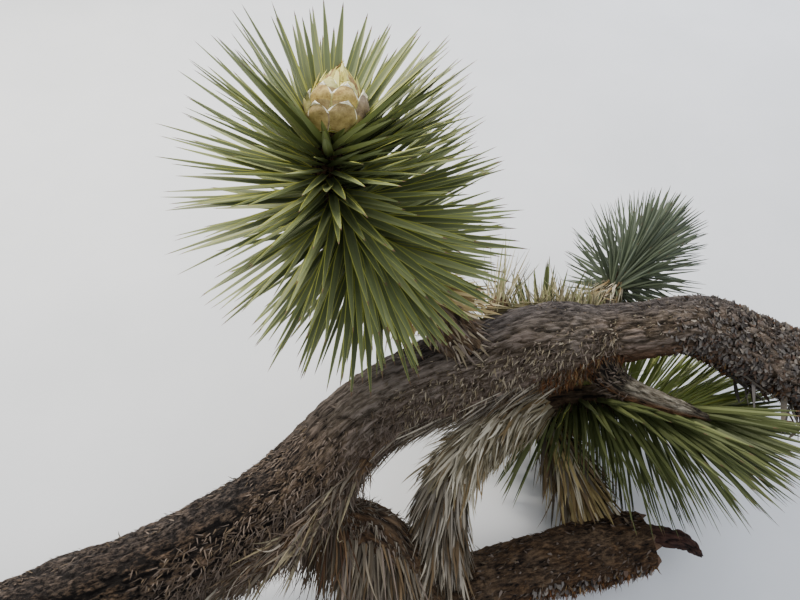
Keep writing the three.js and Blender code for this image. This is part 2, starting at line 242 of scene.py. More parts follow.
def find_shift():
    """How far the turned limb moves to lie where the solids lie, from the box of the main limb."""
    line = ROUTES["main"]
    end = line.mark(SOLID_LAST_KNOT)
    distance = np.linspace(0, end, math.ceil(end / SOLID_RING) + 1)[:, None]
    turn = 2 * math.pi * np.arange(SOLID_SIDES) / SOLID_SIDES
    spots = line.at(distance)
    reach = spots.radius[..., None] * (1 + swelling(distance, turn))[..., None]
    corners = (spots.point + spots.outward(turn[None]) * reach).reshape(-1, 3)
    return np.array(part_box("main_limb")[0]) - (corners @ np.array(LYING).T).min(0)


SHIFT = find_shift()


def lay(points):
    """Points of the growing frame as they lie on the ground."""
    return points @ np.array(LYING).T + SHIFT


def put(name, data):
    """A new object in the scene."""
    made = bpy.data.objects.new(name, data)
    bpy.context.scene.collection.objects.link(made)
    return made


def colour(code):
    """A colour of six hexadecimal digits as linear numbers."""
    parts = [int(code[i : i + 2], 16) / 255 for i in (0, 2, 4)]
    return (*(c / 12.92 if c <= 0.04045 else ((c + 0.055) / 1.055) ** 2.4 for c in parts), 1.0)


class Finish:
    """A material under construction, whose calls add nodes and give back the sockets that these put out."""

    def __init__(self, name, roughness, specular=0.5):
        self.material = bpy.data.materials.new(name)
        self.material.use_nodes = True
        self.tree = self.material.node_tree
        self.shader = self.tree.nodes["Principled BSDF"]
        self.shader.inputs["Roughness"].default_value = roughness
        self.shader.inputs["Specular IOR Level"].default_value = specular

    def plug(self, socket, value):
        if isinstance(value, bpy.types.NodeSocket):
            self.tree.links.new(value, socket)
        else:
            socket.default_value = value

    def node(self, kind, inputs, **settings):
        node = self.tree.nodes.new("ShaderNode" + kind)
        for name, value in settings.items():
            setattr(node, name, value)
        for name, value in inputs.items():
            self.plug(node.inputs[name], value)
        return node

    def attribute(self, name, output="Fac"):
        return self.node("Attribute", {}, attribute_name=name).outputs[output]

    def place(self):
        return self.node("TexCoord", {}).outputs["Object"]

    def noise(self, vector, stretch, detail=4.0, rough=0.55):
        scaled = self.node("Mapping", {"Vector": vector, "Scale": stretch}).outputs[0]
        inputs = {"Vector": scaled, "Scale": 1.0, "Detail": detail, "Roughness": rough}
        return self.node("TexNoise", inputs).outputs["Fac"]

    def sum(self, a, b, share):
        """Two grey values mixed by a share of the second."""
        return self.node("Mix", {"Factor": share, "A": a, "B": b}, data_type="FLOAT").outputs[0]

    def mix(self, factor, a, b):
        """Two colours mixed by a share of the second, by the numbers of the node's colour sockets."""
        return self.node("Mix", {"Factor": factor, 6: a, 7: b}, data_type="RGBA").outputs[2]

    def ramp(self, factor, *stops):
        node = self.node("ValToRGB", {"Fac": factor})
        elements = node.color_ramp.elements
        while len(elements) < len(stops):
            elements.new(0.5)
        for element, (position, code) in zip(elements, stops):
            element.position = position
            element.color = colour(code)
        return node.outputs[0]

    def bump(self, height, strength, distance):
        inputs = {"Height": height, "Strength": strength, "Distance": distance}
        self.plug(self.shader.inputs["Normal"], self.node("Bump", inputs).outputs[0])

    def paint(self, value):
        self.plug(self.shader.inputs["Base Color"], value)
        return self.material


def bark_finish(name, dark, middle, light, warm, pale, worn=None):
    """Furrowed bark: dark in its cracks, warm where it is sheltered, and of two other colours where worn; on
    the main limb the worn mask is painted shade on its top.
    """
    worn = worn or (middle, pale)
    finish = Finish(name, 0.92, 0.25)
    flow = finish.attribute("flow", "Vector")
    streaks = finish.noise(flow, (30.0, 170.0, 170.0), detail=5.0, rough=0.7)
    fibres = finish.ramp(streaks, (0.38, "000000"), (0.6, "ffffff"))
    grains = finish.noise(flow, (110.0, 380.0, 380.0), detail=3.0)
    patches = finish.noise(flow, (6.0, 14.0, 14.0), detail=3.0)
    depth = finish.sum(finish.attribute("height"), finish.sum(fibres, grains, 0.3), 0.46)
    bare = finish.ramp(depth, (0.3, dark), (0.55, middle), (0.8, light))
    greyed = finish.ramp(depth, (0.3, dark), (0.76, pale))
    aged = finish.mix(finish.ramp(patches, (0.45, "000000"), (0.62, "9a9a9a")), bare, greyed)
    sheltered = finish.mix(finish.attribute("warm"), aged, finish.ramp(depth, (0.32, dark), (0.72, warm)))
    # The worn colours: real wear on weathered wood, painted darker grey shade on the main limb's top.
    smooth = finish.ramp(finish.sum(depth, fibres, 0.5), (0.2, worn[0]), (0.8, worn[1]))
    finish.bump(finish.sum(fibres, grains, 0.4), 1.0, 0.006)
    return finish.paint(finish.mix(finish.attribute("worn"), sheltered, smooth))


def cut_wood_finish(name, ground, bundle):
    """Sawn wood of a tree without rings: dark fibre bundles in a pale ground."""
    finish = Finish(name, 0.85)
    place = finish.place()
    bundles = finish.node("TexVoronoi", {"Vector": place, "Scale": 260.0}).outputs["Distance"]
    clouds = finish.noise(place, (28.0, 28.0, 28.0))
    dots = finish.ramp(finish.sum(bundles, clouds, 0.3), (0.2, bundle), (0.42, ground))
    finish.bump(bundles, 0.5, 0.0015)
    return finish.paint(finish.mix(clouds, dots, colour(ground)))


def leaf_finish(name, code, roughness, grain=0.35):
    """A leaf of one plain colour with a fine grain."""
    finish = Finish(name, roughness, 0.3)
    finish.bump(finish.noise(finish.place(), (320.0, 320.0, 320.0), detail=2.0), grain, 0.0008)
    return finish.paint(colour(code))


def bract_finish(name, dark, light):
    """A papery bract, mottled and finely ribbed."""
    finish = Finish(name, 0.7, 0.3)
    mottles = finish.noise(finish.place(), (90.0, 90.0, 90.0), detail=3.0)
    ribs = finish.noise(finish.place(), (420.0, 420.0, 420.0), detail=2.0)
    finish.bump(finish.sum(mottles, ribs, 0.5), 0.6, 0.002)
    return finish.paint(finish.ramp(finish.sum(mottles, ribs, 0.3), (0.36, dark), (0.62, light)))


def leaf_finishes(kind, roughness, codes):
    return [leaf_finish(f"{kind}_{i}", code, roughness) for i, code in enumerate(codes.split())]


# Its worn colours are dark greys that paint shade on the main limb's top.
BARK = bark_finish("bark", "140e0a", "554839", "85766a", "6b4a30", "958c80", ("231f1e", "5b5451"))
OLD_BARK = bark_finish("old_bark", "0e0805", "463423", "70583e", "5f4028", "857764")
WEATHERED = bark_finish("weathered_wood", "17110c", "5d5343", "8f8471", "8a5426", "a59d8d",
                        ("4f4434", "a59d8d"))
MAROON = bark_finish("split_bark", "0c0605", "3a2620", "553a31", "4a241c", "60493f")
CUT_WOOD = cut_wood_finish("cut_wood", "b59a72", "735534")
BROKEN_WOOD = cut_wood_finish("broken_wood", "5c432e", "33231a")
DEAD = leaf_finishes("dead_leaf", 0.85, "7a7060 90877a 5c5345 a99f8d 6b583f 483f32")
SILVER = leaf_finishes("silver_leaf", 0.85, "b0a68e c8bea7 91876d dcd3bd 8b7755 70664f")
SCALES = leaf_finishes("leaf_base", 0.9, "62554a 72655a 4b3f34 85785f 5f5140 a39680")
# A darker pick of the leaf-base colours, painting shade into the bases on the main limb's left, under and
# behind the limbs, and in the beard.
SHADE_DARKENED_SCALES = [SCALES[i] for i in (2, 0, 4, 2, 0, 1)]
KNOBS = leaf_finishes("knob", 0.92, "5a534e 69625c 4a433f 746e68 5f4d41 837a70")
STRAW = leaf_finishes("straw", 0.75, "ae9a69 ccb785 8a784d 9f8755 75623f dccb9e")
TOP_STRAW = leaf_finishes("top_straw", 0.8, "9c9272 b3a986 827a58 8a8a60 6b634b")
RUST = leaf_finishes("rust_fibre", 0.9, "6b4425 543119 7d5635 3f2a1a 8e7149 5f4a33")
BLOOM_GREENS = leaf_finishes("bloom_leaf", 0.5, "6a724b 798256 59613d 8d9466")
ARM_GREENS = leaf_finishes("arm_leaf", 0.55, "555c36 636a40 49502d 717849")
# Lighter, yellower greens that paint sky light shining through the raised leaves of the arm's head.
SUNLIT_GREENS = leaf_finishes("sunlit_leaf", 0.55, "96a25c a6b16c 848f4a b0b474")
FAR_GREENS = leaf_finishes("far_leaf", 0.6, "4c5541 59634e 434b3a 646d5c")
MARGIN = leaf_finish("leaf_margin", "b3b552", 0.5)
DULL_MARGIN = leaf_finish("dull_margin", "7c8254", 0.6)
SPINE = leaf_finish("leaf_spine", "6e5640", 0.6)
BRACTS = [bract_finish("bract_" + kind, dark, light) for kind, dark, light in (
    ("golden", "8f7340", "d0b56c"), ("olive", "918a52", "b9b077"), ("tan", "85704a", "b29c6d"),
    ("papery", "6f5c4b", "a5917a"), ("pale", "a8a257", "d4cd8a"))]
FLORETS = leaf_finishes("floret", 0.6, "c6bb5c a79b49 d6cf7c b08f4c 8a6a3c")
BRACT_RIM = leaf_finish("bract_rim", "f6efd8", 0.55)


class Heap:
    """Corners and faces gathered for one piece, in the growing frame."""

    def __init__(self):
        self.points, self.faces, self.tones, self.fields = [], [], [], {}
        self.count = 0

    def add(self, points, faces, tones, **fields):
        self.points.append(points.reshape(-1, 3))
        self.faces.append(faces + self.count)
        self.tones.append(np.broadcast_to(tones, len(faces)))
        for name, values in fields.items():
            self.fields.setdefault(name, []).append(values.reshape(len(self.points[-1]), -1))
        self.count += len(self.points[-1])

    def more(self, faces, tones):
        """More faces on the corners that were added last."""
        self.faces.append(faces + self.count - len(self.points[-1]))
        self.tones.append(np.broadcast_to(tones, len(faces)))

    def piece(self, name, slot, finishes, *replaced, smooth=False):
        mesh = bpy.data.meshes.new(name)
        corners = lay(np.concatenate(self.points))
        corners[:, 2] = np.maximum(corners[:, 2], ON_GROUND)
        loops = np.concatenate([faces.ravel() for faces in self.faces])
        sizes = np.concatenate([np.full(len(faces), faces.shape[1]) for faces in self.faces])
        mesh.vertices.add(len(corners))
        mesh.vertices.foreach_set("co", corners.ravel())
        mesh.loops.add(len(loops))
        mesh.loops.foreach_set("vertex_index", loops)
        mesh.polygons.add(len(sizes))
        mesh.polygons.foreach_set("loop_start", np.cumsum(sizes) - sizes)
        mesh.polygons.foreach_set("material_index", np.concatenate(self.tones))
        mesh.polygons.foreach_set("use_smooth", np.full(len(sizes), smooth))
        mesh.update(calc_edges=True)
        for field, values in self.fields.items():
            values = np.concatenate(values)
            kind, key = ("FLOAT_VECTOR", "vector") if values.shape[1] == 3 else ("FLOAT", "value")
            layer = mesh.attributes.new(field, kind, "POINT")
            layer.data.foreach_set(key, values.ravel())
        for finish in finishes:
            mesh.materials.append(finish)
        made = put(name, mesh)
        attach(made, "root")
        if replaced:
            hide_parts(*replaced)


def warped(flow, cells, shift, seed):
    """Places moved to and fro by noise."""
    return flow + (noise(flow * cells, seed)[..., None] - 0.5) * shift


def cracked(points, steep, seed):
    """0 in thin cracks and 1 on the plates between them."""
    return np.clip(steep * np.abs(2 * noise(points, seed) - 1), 0, 1)


def furrows(flow, seed):
    """Long plates of bark, from 0 in a crack to 1 on a plate."""
    bent = warped(flow, (11, 30, 30), (0.04, 0.016, 0.016), seed)
    plates = cracked(bent * (27, 75, 75), 3.2, seed + 1)
    ridges = cracked(bent * (60, 165, 165), 2.4, seed + 2)
    return 0.46 * plates + 0.34 * ridges + 0.2 * noise(flow * (80, 290, 290), seed + 3)


def wrinkles(flow, seed):
    """Fine lengthwise wrinkles, from 0 to 1."""
    bent = warped(flow, (16, 50, 50), (0.02, 0.008, 0.008), seed)
    folds = cracked(bent * (38, 150, 150), 2.6, seed + 1)
    rough = noise(bent * (95, 300, 300), seed + 2)
    return 0.38 * folds + 0.32 * rough + 0.3 * noise(flow * (18, 30, 30), seed + 3)


def nubs(flow, seed):
    """Short corky knobs, from 0 between them to 1 on top."""
    bent = warped(flow, 45, 0.014, seed)
    knobs = ease(0.3, 0.7, noise(bent * (50, 70, 70), seed + 1))
    cracks = cracked(bent * (75, 105, 105), 2.6, seed + 2)
    return 0.45 * knobs + 0.35 * cracks + 0.2 * noise(flow * (170, 260, 260), seed + 3)


def round_faces(rings, sides, turned=False):
    """Four-cornered faces of a tube."""
    ring = np.arange(rings - 1)[:, None] * sides
    side = np.arange(sides)[None, :]
    after = (side + 1) % sides
    corners = [ring + side, ring + after, ring + sides + after, ring + sides + side]
    return np.stack(corners[::-1] if turned else corners, -1).reshape(-1, 4)


# The height of bark that lies at a limb's mean radius, from 0 in a crack to 1 on a plate.
MEAN_HEIGHT = 0.62


def add_limb(heap, key, start, end, *, ring=0.004, side=0.0045, relief=0.009, seed=1, look=None,
             jagged=(0, 0), grain=None):
    """A limb's bark between two distances, closed at both ends by wood.

    look takes (distance, turn, flow) and gives (height from 0 to 1, warm, worn, where worn on the main limb
    is painted shade on its top), jagged says how far the wood of each end is splintered, and grain turns
    distances into those that the bark's grain is drawn by.
    """
    line = ROUTES[key]
    rings = math.ceil((end - start) / ring) + 1
    sides = math.ceil(2 * math.pi * line.radius.max() / side)
    distance = np.linspace(start, end, rings)[:, None]
    turn = 2 * math.pi * np.arange(sides)[None, :] / sides
    spots = line.at(distance)
    radius = spots.radius * np.ones_like(turn)
    flow = np.stack([distance + 0 * turn, radius * np.cos(turn), radius * np.sin(turn)], -1)
    plain = (furrows(flow, seed), 0 * radius, 0 * radius)
    height, warm, worn = look(distance, turn, flow) if look else plain
    reach = radius * (1 + swelling(distance, turn)) + relief * (height - MEAN_HEIGHT)
    points = spots.point + spots.outward(turn) * reach[..., None]
    if grain:
        flow[..., 0] = grain(flow[..., 0])
    fields = {"flow": flow, "height": height, "warm": warm + 0 * radius, "worn": worn + 0 * radius}
    heap.add(points, round_faces(rings, sides), 0, **fields)
    for which, rough in ((0, jagged[0]), (-1, jagged[1])):
        add_end(heap, points[which], spots.point[which, 0], spots.along[which, 0], rough, seed, which == 0)


# Rings of wood that close a limb's end, as shares of its rim.
END_RINGS = np.array((1.0, 0.93, 0.8, 0.64, 0.48, 0.32, 0.16))[:, None, None]


def add_end(heap, rim, middle, along, rough, seed, is_start):
    """Closes one end of a limb with rings of wood, flat or splintered."""
    points = middle + (rim - middle) * END_RINGS
    splinters = noise(points * 95, seed + 9)[..., None] - 0.35
    points = points + along * rough * splinters * (-1 if is_start else 1) * (END_RINGS < 1)
    rings, sides = points.shape[:2]
    centre = points[-1].mean(0)
    corners = np.vstack([points.reshape(-1, 3), centre])
    side = np.arange(sides)
    last = (rings - 1) * sides
    tip = np.stack([last + side, last + (side + 1) % sides, np.full(sides, rings * sides)], -1)
    level = np.full(len(corners), 0.5)
    flow = np.vstack([corners[:-1] * (0.2, 1, 1), centre])
    heap.add(corners, round_faces(rings, sides, turned=is_start), 1, flow=flow, height=level, warm=0 * level,
             worn=0 * level)
    heap.more(tip[:, ::-1] if is_start else tip, 1)


def leaf_faces(rings, sides):
    """Faces of one leaf: four-cornered ones round it, then triangles for its root and its tip."""
    top = (rings - 1) * sides
    tip = [(top + s, top + (s + 1) % sides, rings * sides) for s in range(sides)]
    root = [(0, s + 1, s) for s in range(1, sides - 1)]
    return round_faces(rings, sides), np.array(tip + root)


def add_leaves(heap, points, tones, margins=None, margin=0):
    """Many leaves alike: points is (leaf, ring, corner, 3), each with its last ring drawn to a tip.

    Each leaf has one tone. If margins lists some of its corners, the faces there get the tone margin, and
    its ends the next one.
    """
    count, rings, sides = points.shape[:3]
    tips = points[:, -1].mean(1, keepdims=True)
    corners = np.concatenate([points[:, :-1].reshape(count, -1, 3), tips], 1)
    quads, ends = leaf_faces(rings - 1, sides)
    first = (np.arange(count) * corners.shape[1])[:, None, None]
    paint = np.repeat(tones, len(quads)).reshape(-1, sides)
    if margins:
        paint[:, margins] = margin
    heap.add(corners, (quads + first).reshape(-1, 4), paint.ravel())
    heap.more((ends + first).reshape(-1, 3), margin + 1 if margins else np.repeat(tones, len(ends)))


# A living blade's half-width by its length, and its section: corners as (across, up) in its own width.
BLADE_STATIONS = np.array((0.0, 0.14, 0.38, 0.6, 0.8, 0.955, 1.0))
BLADE_WIDTHS = np.array((0.85, 0.88, 1.0, 0.8, 0.5, 0.17, 0.0))
BLADE_SECTION = np.array(((0.5, 0.13), (0.0, -0.17), (-0.5, 0.13), (-0.42, 0.09), (0.0, -0.04), (0.42, 0.09)))
BLADE_MARGINS = [2, 5]
DEAD_STATIONS = (0, 0.15, 0.4, 0.8, 1)
DEAD_WIDTHS = (0.7, 1, 0.88, 0.45, 0)
BLUNT_WIDTHS = (0.8, 1, 1, 0.85, 0)
DEAD_SECTION = np.array(((0.5, 0.12), (0.0, -0.14), (-0.5, 0.12)))


def add_blades(heap, roots, lines, axes, lengths, width, draw, tones):
    """Living leaves: stiff channelled daggers with pale margins and a brown spine."""
    count = len(roots)
    side = np.cross(lines, axes)
    weak = np.linalg.norm(side, axis=1) < 0.1
    side[weak] = np.cross(lines[weak], DOWN)
    side = unit(side)
    up = np.cross(side, lines)
    t = BLADE_STATIONS[None, :, None]
    widths = width * (0.85 + 0.3 * draw.random(count))[:, None, None]
    bend = (0.09 * (draw.random(count) - 0.45) * lengths)[:, None, None]
    sway = (0.05 * (draw.random(count) - 0.5) * lengths)[:, None, None]
    middle = roots[:, None] + lines[:, None] * lengths[:, None, None] * t
    middle = middle + up[:, None] * bend * t**2 + side[:, None] * sway * t**2
    section = BLADE_WIDTHS[None, :, None, None] * BLADE_SECTION[None, None]
    points = middle[:, :, None] + widths[..., None] * (
        side[:, None, None] * section[..., :1] + up[:, None, None] * section[..., 1:]
    )
    add_leaves(heap, points, draw.integers(0, tones, count), BLADE_MARGINS, tones)


def add_ribbons(heap, roots, lines, facing, lengths, widths, draw, tones, *, droop=0.3, curl=0.4, twist=0.6,
                steps=8, shape=DEAD_WIDTHS):
    """Dead leaves: channelled strips that sag, curl and twist towards their tips."""
    count = len(roots)
    t = np.linspace(0, 1, steps + 1)
    whims = unit(draw.normal(size=(count, 3)))
    sag = droop * (0.6 + 0.8 * draw.random(count))
    turns = curl * draw.random(count) ** 2 * 2
    spins = twist * draw.normal(size=count)
    middle, line = roots.copy(), unit(lines)
    side = unit(np.cross(line, facing + 1e-4 * whims))
    taper = np.interp(t, DEAD_STATIONS, shape)
    rings = []
    for k in range(steps + 1):
        heading = unit(line + DOWN * (sag * t[k])[:, None] + whims * (turns * t[k] ** 2)[:, None])
        across = unit(side - dot(side, heading) * heading)
        up = np.cross(across, heading)
        angle = (spins * t[k])[:, None]
        turned = across * np.cos(angle) + up * np.sin(angle)
        raised = up * np.cos(angle) - across * np.sin(angle)
        spread = (widths * taper[k])[:, None, None] * DEAD_SECTION[None]
        rings.append(middle[:, None] + turned[:, None] * spread[..., :1] + raised[:, None] * spread[..., 1:])
        middle = middle + heading * (lengths / steps)[:, None]
    add_leaves(heap, np.stack(rings, 1), draw.integers(0, tones, count))


def along_leaves(roots, lines, lengths, start=0.0, end=1.0, count=12):
    """Points along leaves taken as straight, from one share of their lengths to another."""
    return roots[:, None] + lines[:, None] * (lengths[:, None] * np.linspace(start, end, count))[..., None]


def in_view(points):
    """Where points show in the photograph, as slopes across and up from its camera."""
    return points[..., :2] / (CAMERA_AWAY - points[..., 2:])


def is_clear(key, roots, lines, lengths):
    """True for the leaves that touch no other limb and keep above the ground."""
    skipped = (key, "beard", "tuft", "stub")
    table = np.vstack([line.table for other, line in ROUTES.items() if other not in skipped])
    spots = along_leaves(roots, lines, lengths, 0.2, 1, 9)
    gaps = np.linalg.norm(spots[:, :, None] - table[:, :3], axis=-1) - table[:, 9]
    return (gaps.min((1, 2)) > LIMB_GAP) & (lay(spots)[..., 2].min(1) > GROUND_GAP)


def is_behind(roots, lines, lengths, key="main", last=14, margin=0.0):
    """True for the leaves that nowhere cross in front of a limb up to a knot, seen with a margin round it."""
    table = ROUTES[key].table[: last * SAMPLES_A_SPAN + 1]
    spots = along_leaves(roots, lines, lengths)
    gaps = np.linalg.norm(in_view(spots)[:, :, None] - in_view(table[:, :3]), axis=-1)
    gaps = gaps - (table[:, 9] + margin) / (CAMERA_AWAY - table[:, 2])
    before = spots[..., 2][:, :, None] > table[:, 2]
    return ~((gaps < 0) & before).any((1, 2))


def is_beside_bud(roots, lines, lengths):
    """True for the leaves that don't cross in front of the bud."""
    foot, _, up, _ = bud_frame()
    middle = foot + up * BUD_TALL * BUD_MIDDLE
    spots = along_leaves(roots, lines, lengths)
    aside = (in_view(spots) - in_view(middle)) * (CAMERA_AWAY - middle[2])
    before = spots[..., 2] > middle[2]
    return ~((np.linalg.norm(aside, axis=-1) < BUD_CLEARED * BUD_WIDE / 2) & before).any(1)


def rooted(line, knots, count, draw):
    """Places in a spiral along a shoot, with each one's share of the way and its outward direction."""
    share = (np.arange(count) + draw.random(count)) / count
    ends = (line.mark(knot) + inset for knot, inset in zip(knots, ROOTED_INSETS))
    spots = line.at(lerp(*ends, share))
    out = spots.outward(np.arange(count) * GOLDEN_ANGLE + 0.3 * (draw.random(count) - 0.5))
    return share, spots, out


# What is left of the length of leaves that would cross the bud or the rear bough's foot, how far hidden
# leaves are pushed back, and where leaves that point up count as raised and are let through.
CUT_AT_BUD = 0.55
CUT_AT_REAR = 0.58
PUSHED_BACK = 0.45
RAISED_SLOPE = 0.08
RAISED_DEPTH = -0.13


def make_head(name, key, knots, paints, count, seed, length, width, angles, *, spread=0.0, hides=False,
              ceiling=math.inf, raised=None):
    """A head of living leaves, of a length and width in millimetres, at angles from its shoot in degrees.

    Leaves that would cross in front of the bud or of the rear bough's foot stay short. In a head that hides,
    leaves that meet a limb are pushed back behind it, and none at its foot comes out to the front. No leaf
    rises above the ceiling, and raised gives the lighter finishes that paint sky light shining through the
    leaves that point up.
    """
    draw = np.random.default_rng(seed)
    share, spots, out = rooted(ROUTES[key], knots, count, draw)
    forward = np.maximum(0, out @ FRONT) * share**3 * spread
    angle = np.radians(lerp(*angles, share**1.15) + forward + 12 * (draw.random(count) - 0.5))[:, None]
    lines = unit(spots.along * np.cos(angle) + out * np.sin(angle))
    roots = spots.point + out * (0.3 * spots.radius)[:, None]
    full = np.minimum(1, np.minimum(lerp(0.68, 1.88, share), lerp(2, 0.8, share)))
    lengths = length / METRE * full * (0.9 + 0.2 * draw.random(count)) + 0.7 * spots.radius
    lengths[~is_beside_bud(roots, lines, lengths)] *= CUT_AT_BUD
    if key == "riser":
        lengths[~is_behind(roots, lines, lengths, "rear", 2, 0.01)] *= CUT_AT_REAR
    if hides:
        blocked = ~is_clear(key, roots, lines, lengths)
        lines[blocked] = unit(lines[blocked] - PUSHED_BACK * FRONT)
    rise = np.maximum(lines[:, 1], 0.01)
    lengths = np.minimum(lengths, np.maximum(0.05, (ceiling - roots[:, 1]) / rise))
    fine = is_clear(key, roots, lines, lengths) & is_beside_bud(roots, lines, lengths)
    if hides:
        fine &= is_behind(roots, lines, lengths) & ((share > 0.15) | (out @ FRONT < 0.2))
    # Leaves that point up take the raised finishes, painted lighter as light shining through them.
    upper = (lines[:, 1] > RAISED_SLOPE) & (raised is not None)
    fine &= ~upper | ((roots + lines * lengths[:, None])[:, 2] < RAISED_DEPTH)
    kinds = {"leaves": (fine & ~upper, paints), "raised_leaves": (fine & upper, raised)}
    for label, (chosen, finishes) in kinds.items():
        if chosen.any():
            heap = Heap()
            taken = pick(chosen, roots, lines, spots.along, lengths)
            add_blades(heap, *taken, width / METRE, draw, len(finishes) - 2)
            heap.piece(f"{name}_{label}", "leaves", finishes, name)
    make_bark(f"{name}_shoot", [OLD_BARK, OLD_BARK], (), key, (knots[0], -1), ring=0.006, side=0.006,
              relief=0.004, seed=seed)


def make_heads():
    margins = [MARGIN, SPINE]
    dull = [DULL_MARGIN, SPINE]
    make_head("head_bloom", "bloom", (2, 4.75), BLOOM_GREENS + margins, 540, 11, 240, 15.5, (128, 36),
              spread=20)
    make_head("head_arm", "riser", (6, -1), ARM_GREENS + margins, 820, 23, 275, 12.5, (126, 18), hides=True,
              ceiling=0, raised=SUNLIT_GREENS + margins)
    make_head("head_rear", "rear", (3, -1), ARM_GREENS + dull, 250, 37, 215, 12.5, (112, 25), hides=True)
    make_head("head_far", "far", (2, -1), FAR_GREENS + dull, 380, 41, 155, 7.6, (86, 12))


def make_skirt(name, node, key, knots, finishes, count, seed, aim, length, width, *, stray=0.12, hides=False,
               highest=1.0, **bends):
    """Dead leaves that lie back along a bough and hang, with their length and width in millimetres.

    aim says how much they point back along the bough, out of it and down, and highest how far up the side
    that they grow on may face.
    """
    back, out, down = aim
    draw = np.random.default_rng(seed)
    _, spots, outwards = rooted(ROUTES[key], knots, count, draw)
    lift = (out * (0.6 + 0.8 * draw.random(count)))[:, None]
    fall = down * (DOWN - dot(DOWN, outwards) * outwards * (dot(DOWN, outwards) < 0))
    lines = unit(-back * spots.along + lift * outwards + fall + stray * draw.normal(size=(count, 3)))
    roots = spots.point + outwards * (0.85 * spots.radius)[:, None]
    lengths = length / METRE * (0.6 + 0.6 * draw.random(count))
    widths = width / METRE * (0.6 + 0.7 * draw.random(count))
    heights = lay(along_leaves(roots, lines, lengths, 0, 1.05, 5))[..., 2]
    fine = (heights.min(1) > DEAD_GROUND_GAP) & (outwards[:, 1] < highest)
    if hides:
        fine &= is_behind(roots, lines, lengths)
    heap = Heap()
    taken = pick(fine, roots, lines, outwards, lengths, widths)
    add_ribbons(heap, *taken, draw, len(finishes), **bends)
    heap.piece(name, "dead_leaves", finishes, node)


def make_skirts():
    dusky = [DEAD[0], DEAD[2], DEAD[4], DEAD[5], SCALES[1]]
    shaded = [RUST[3], SCALES[2], DEAD[5], RUST[5]]
    dry = [STRAW[0], STRAW[2], STRAW[4], DEAD[2], DEAD[4], SILVER[0]]
    bleached = [DEAD[1], DEAD[0], SILVER[2], DEAD[0], SILVER[5]]
    faded = [*SILVER[:3], SILVER[4], TOP_STRAW[2], FAR_GREENS[0]]
    hanging = {"droop": 0.35, "steps": 6}
    lying = {"droop": 0.5, "curl": 0.5, "twist": 0.8, "steps": 5}
    worn = {"droop": 0.1, "curl": 0.5, "twist": 0.6, "steps": 4}
    make_skirt("hump_thatch", "fork_hump", "fork", (1.2, 3), dusky, 1300, 5, (0.1, 0.25, 1.0), 130, 5,
               highest=0.3, curl=0.4, **hanging)
    make_skirt("fork_thatch", "fork", "fork", (0.1, 1.2), shaded, 420, 3, (0.1, 0.25, 1.0), 130, 5,
               highest=0.5, curl=0.7, **hanging)
    make_skirt("riser_thatch", "riser", "riser", (0.7, 3), DEAD, 1300, 7, (0.9, 0.3, 0.15), 105, 7.2,
               **lying)
    make_skirt("rear_thatch", "rear_bough", "rear", (0.8, 3), dry, 520, 13, (0.9, 0.35, 0.15), 125, 9,
               stray=0.15, **lying)
    make_skirt("arm_thatch", "arm", "riser", (3, 6.3), SILVER, 1500, 9, (0.9, 0.35, 0.3), 95, 7, stray=0.15,
               hides=True, droop=0.4, curl=0.6, twist=0.8, steps=5)
    make_skirt("straw_tuft_leaves", "straw_tuft", "tuft", (0.2, 1.6), TOP_STRAW, 46, 15, (-0.9, 0.35, -0.7),
               135, 4.2, stray=0.26, droop=0.0, curl=0.08)
    make_skirt("beard_strands", "beard", "beard", (0, 3), SHADE_DARKENED_SCALES, 1800, 19, (0.9, 0.25, 0.2), 50, 3.3,
               stray=0.4, droop=0.15, curl=1.6, twist=1.2, steps=4)
    make_skirt("silver_strands", "beard", "beard", (0.6, 3), bleached, 170, 31, (1.0, 0.10, 0.2), 110, 6.2,
               stray=0.16, droop=0.15, curl=1.9, twist=1.4, steps=10)
    make_skirt("far_thatch", "far_bough", "far", (0.6, 2.5), faded, 420, 17, (0.9, 0.2, 0.0), 75, 4.2,
               stray=0.14, **worn)
    make_skirt("bloom_thatch", "bloom_bough", "bloom", (0.1, 2), SCALES, 800, 29, (0.9, 0.2, 0.0), 50, 6.5,
               stray=0.2, highest=0.8, **worn)
    make_skirt("bloom_collar", "bloom_bough", "bloom", (0.4, 2), STRAW, 420, 21, (0.6, 0.5, -0.1), 110, 9,
               hides=True, droop=0.2, curl=0.4, steps=6)


def main_look(distance, turn, flow):
    """The main limb: furrowed to the left, fine-wrinkled and shaggy in the middle, corky to the right, with
    its left part and its top painted darker as shade.
    """
    line = ROUTES["main"]
    fine = ease(line.mark(2.6), line.mark(4.4), distance)
    corky = ease(line.mark(10.4), line.mark(11.3), distance)
    # The left furrows are set lower, which sinks that bark a little and paints it darker as shade.
    height = lerp(lerp(furrows(flow, 1) - 0.46, wrinkles(flow, 31) + 0.12, fine), nubs(flow, 21), corky)
    belly = ease(0.3, 1.0, np.sin(turn))
    under = ease(line.mark(7.8), line.mark(8.6), distance) * (1 - corky)
    warm = belly * np.clip(0.35 * fine + 0.35 * corky + 0.6 * under, 0, 1) + 0.35 * (1 - fine)
    # The worn mask here is the limb's top, painted darker and greyer as shade, more strongly from the fourth
    # knot on.
    upper = ease(0.0, 0.75, -np.sin(turn) - 0.3 * np.cos(turn))
    return height, warm, upper * (0.5 + 0.4 * ease(line.mark(4), line.mark(6), distance))


def main_grain(distance):
    """Distances along the main limb, longer where its grain is short: towards the butt and the far end."""
    before = np.minimum(0, distance - ROUTES["main"].mark(3.2))
    past = np.maximum(0, distance - ROUTES["main"].mark(10.7))
    return distance + 1.4 * before + 3 * past


def lower_look(distance, turn, flow):
    """The lower limb: scaly above and orange-brown beneath."""
    height = lerp(furrows(flow, 41), nubs(flow, 51), 0.45)
    warm = 0.2 + 0.5 * ease(0.1, 0.9, np.sin(turn)) * ease(0.1, 0.2, distance)
    return height, warm, 0 * warm


